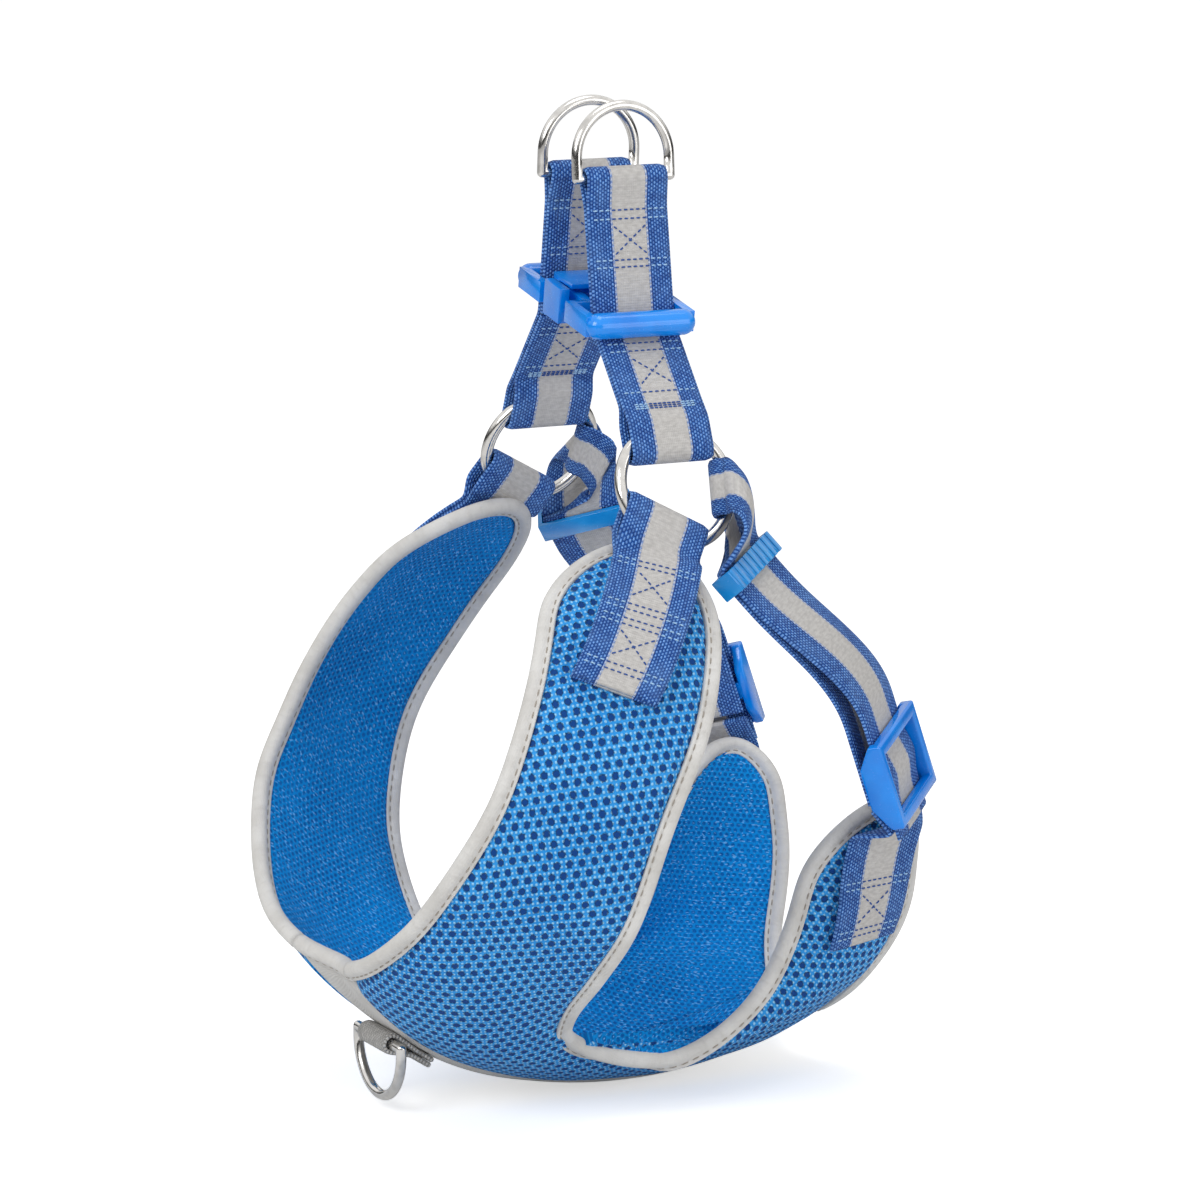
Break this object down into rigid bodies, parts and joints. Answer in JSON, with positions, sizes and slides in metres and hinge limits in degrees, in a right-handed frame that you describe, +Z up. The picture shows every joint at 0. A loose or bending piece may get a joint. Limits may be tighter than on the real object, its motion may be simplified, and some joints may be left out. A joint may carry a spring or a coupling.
{
  "type": "dog harness",
  "caption": "Step-in vest harness: padded mesh chest panels with bound edges, adjustable girth straps, side rings, a side-release buckle and D-rings for a leash.",
  "frame": {"origin": "the middle of the dog's chest, inside the vest", "axes": "+Z up, -Y towards the dog's head, +X to the dog's left"},
  "size_m": [0.1712, 0.1739, 0.2843],
  "materials": {
    "air_mesh": "perforated polyester air mesh over foam",
    "lining": "fine knitted polyester lining",
    "binding": "light grey satin bias binding",
    "centre_cloth": "light grey woven cloth",
    "grey_webbing": "light grey nylon webbing",
    "blue_webbing": "royal blue nylon webbing with lighter flecks",
    "reflective": "grey reflective band woven into the webbing",
    "blue_plastic": "bright blue moulded acetal",
    "nickel": "nickel-plated welded steel wire"
  },
  "bodies": {
    "chest": {"centre_strip": "centre_cloth", "centre_pad": "lining", "neck_binding": "binding", "belly_binding": "binding", "chest_tab": "grey_webbing"},
    "chest_ring": {"chest_ring": "nickel"},
    "left_side": {"left_outer_mesh": "air_mesh", "left_lining": "lining", "left_binding": "binding", "left_shoulder_tab": "blue_webbing", "left_shoulder_stripe": "reflective", "left_girth_strap": "blue_webbing", "left_girth_stripe": "reflective", "left_wing_tab": "blue_webbing", "left_back_strap": "blue_webbing", "left_back_stripe": "reflective", "buckle_fork": "blue_plastic"},
    "right_side": {"right_outer_mesh": "air_mesh", "right_lining": "lining", "right_binding": "binding", "right_shoulder_tab": "blue_webbing", "right_shoulder_stripe": "reflective", "right_girth_strap": "blue_webbing", "right_girth_stripe": "reflective", "right_wing_tab": "blue_webbing", "right_back_strap": "blue_webbing", "right_back_stripe": "reflective", "buckle_socket": "blue_plastic"},
    "left_side_ring": {"left_side_ring": "nickel"},
    "left_leash_ring": {"left_leash_ring": "nickel"},
    "left_slider": {"left_slider": "blue_plastic"},
    "left_keeper": {"left_keeper": "blue_plastic"},
    "right_side_ring": {"right_side_ring": "nickel"},
    "right_leash_ring": {"right_leash_ring": "nickel"},
    "right_slider": {"right_slider": "blue_plastic"},
    "right_keeper": {"right_keeper": "blue_plastic"},
    "front_prong": {"front_prong": "blue_plastic"},
    "rear_prong": {"rear_prong": "blue_plastic"}
  },
  "joints": [
    {"name": "left_side_open", "type": "hinge", "parent": "chest", "child": "left_side", "pos_m": [0, 0, -0.146], "axis": [0, 1, 0], "range_deg": [0, 50]},
    {"name": "right_side_open", "type": "hinge", "parent": "chest", "child": "right_side", "pos_m": [0, 0, -0.146], "axis": [0, -1, 0], "range_deg": [0, 50]},
    {"name": "left_side_ring_spin", "type": "hinge", "parent": "left_side", "child": "left_side_ring", "pos_m": [0.0426, -0.0012, 0.0386], "axis": [0.9272, 0, 0.3746], "continuous": true},
    {"name": "left_leash_ring_swing", "type": "hinge", "parent": "left_side", "child": "left_leash_ring", "pos_m": [0.011, -0.0012, 0.122], "axis": [0, 1, 0], "range_deg": [-12, 105]},
    {"name": "left_slider_slide", "type": "slide", "parent": "left_side", "child": "left_slider", "axis": [0, -0.3279, 0.9447], "range_m": [-0.003, 0.004]},
    {"name": "left_keeper_slide", "type": "slide", "parent": "left_side", "child": "left_keeper", "axis": [-0.375, -0.549, 0.747], "range_m": [-0.004, 0]},
    {"name": "right_side_ring_spin", "type": "hinge", "parent": "right_side", "child": "right_side_ring", "pos_m": [-0.0426, -0.0012, 0.0386], "axis": [-0.9272, 0, 0.3746], "continuous": true},
    {"name": "right_leash_ring_swing", "type": "hinge", "parent": "right_side", "child": "right_leash_ring", "pos_m": [-0.011, -0.0012, 0.122], "axis": [0, -1, 0], "range_deg": [-12, 105]},
    {"name": "right_slider_slide", "type": "slide", "parent": "right_side", "child": "right_slider", "axis": [0, -0.3279, 0.9447], "range_m": [-0.003, 0.004]},
    {"name": "right_keeper_slide", "type": "slide", "parent": "right_side", "child": "right_keeper", "axis": [0.375, -0.549, 0.747], "range_m": [-0.004, 0]},
    {"name": "chest_ring_swing", "type": "hinge", "parent": "chest", "child": "chest_ring", "pos_m": [0, -0.0732, -0.1204], "axis": [1, 0, 0], "range_deg": [-30, 40]},
    {"name": "front_prong_squeeze", "type": "hinge", "parent": "left_side", "child": "front_prong", "pos_m": [0.00814, -0.01067, 0.0849], "axis": [-0.182, 0.0102, -0.9833], "range_deg": [0, 7], "stiffness_Nm_per_rad": 0.02},
    {"name": "rear_prong_squeeze", "type": "hinge", "parent": "left_side", "child": "rear_prong", "pos_m": [0.00914, 0.0073, 0.0849], "axis": [0.182, -0.0102, 0.9833], "range_deg": [0, 7], "stiffness_Nm_per_rad": 0.02}
  ]
}
